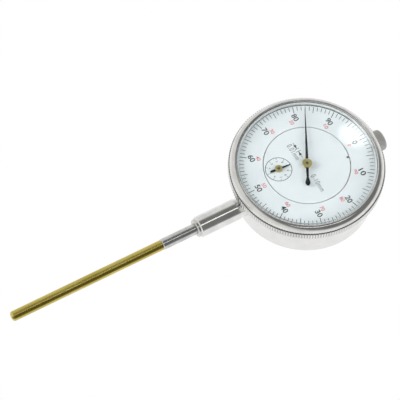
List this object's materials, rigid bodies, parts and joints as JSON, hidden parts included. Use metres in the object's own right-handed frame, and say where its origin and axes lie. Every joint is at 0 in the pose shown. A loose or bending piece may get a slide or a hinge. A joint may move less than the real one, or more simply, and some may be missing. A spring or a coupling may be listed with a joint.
{
  "type": "dial gauge",
  "caption": "Plunger dial gauge with a turning knurled bezel, a small counter dial and a long brass contact rod, for timing an engine through the plug hole.",
  "frame": {"origin": "centre of the flat back cover's outer face, on the dial's axis", "axes": "+Z along the dial's axis towards the reader, -Y along the stem and the contact rod, +X to the reader's right with the stem down"},
  "size_m": [0.058, 0.1561, 0.0211],
  "materials": {
    "drum_chrome": "polished",
    "bezel_chrome": "polished",
    "stem_chrome": "polished",
    "cover_steel": "satin",
    "cap_steel": "satin",
    "spindle_steel": "ground",
    "screw_steel": "machined",
    "spring_steel": "bright",
    "movement_brass": "satin",
    "rod_brass": "drawn",
    "hub_brass": "turned",
    "hand_blue": "blued",
    "dial_white": "matt enamel",
    "crystal": "clear"
  },
  "bodies": {
    "gauge_body": {"case": "drum_chrome", "back_cover": "cover_steel", "back_cover_screws": "screw_steel", "stem": "stem_chrome", "stem_bush": "stem_chrome", "upper_bush": "movement_brass", "top_cap": "cap_steel", "lower_plate": "movement_brass", "upper_plate": "movement_brass", "plate_pillars": "movement_brass", "pillar_screws": "screw_steel", "movement_screws": "screw_steel", "pinion_cock": "movement_brass", "cock_screws": "screw_steel", "guide_rail": "movement_brass", "rail_screws": "screw_steel", "spring_post": "spindle_steel", "return_spring": "spring_steel", "hairspring_stud": "movement_brass", "inner_dial": "dial_white"},
    "plunger": {"spindle": "spindle_steel", "guide_pin": "spindle_steel", "extension_rod": "rod_brass"},
    "rack_train": {"rack_pinion": "spindle_steel", "rack_gear": "movement_brass", "small_hand": "hand_blue", "small_hand_hub": "hub_brass"},
    "centre_train": {"centre_pinion": "spindle_steel", "main_hand": "hand_blue", "main_hand_hub": "hub_brass"},
    "take_up_train": {"take_up_arbor": "spindle_steel", "take_up_gear": "movement_brass", "hairspring": "spring_steel"},
    "bezel_ring": {"bezel": "bezel_chrome", "bezel_wire": "spring_steel", "dial_ring": "dial_white", "retaining_ring": "spring_steel", "crystal": "crystal"}
  },
  "joints": [
    {"name": "plunger_slide", "type": "slide", "parent": "gauge_body", "child": "plunger", "axis": [0, 1, 0], "range_m": [0, 0.01], "stiffness_N_per_m": 100, "springref_m": -0.004, "deforming": ["return_spring"]},
    {"name": "rack_train_turn", "type": "hinge", "parent": "gauge_body", "child": "rack_train", "pos_m": [-0.0034, -0.01006, 0], "axis": [0, 0, 1], "range_deg": [-1, 361]},
    {"name": "main_hand_turn", "type": "hinge", "parent": "gauge_body", "child": "centre_train", "pos_m": [0, 0, 0], "axis": [0, 0, 1], "range_deg": [-3605, 5]},
    {"name": "take_up_turn", "type": "hinge", "parent": "gauge_body", "child": "take_up_train", "pos_m": [0.0034, 0.01006, 0], "axis": [0, 0, 1], "range_deg": [-1, 361], "deforming": ["hairspring"]},
    {"name": "bezel_turn", "type": "hinge", "parent": "gauge_body", "child": "bezel_ring", "pos_m": [0, 0, 0.0176], "axis": [0, 0, 1], "continuous": true}
  ],
  "couplings": [
    {"joint": "rack_train_turn", "follows": "plunger_slide", "rad_per_m": 628.32},
    {"joint": "main_hand_turn", "follows": "plunger_slide", "rad_per_m": -6283.2},
    {"joint": "take_up_turn", "follows": "plunger_slide", "rad_per_m": 628.32}
  ]
}
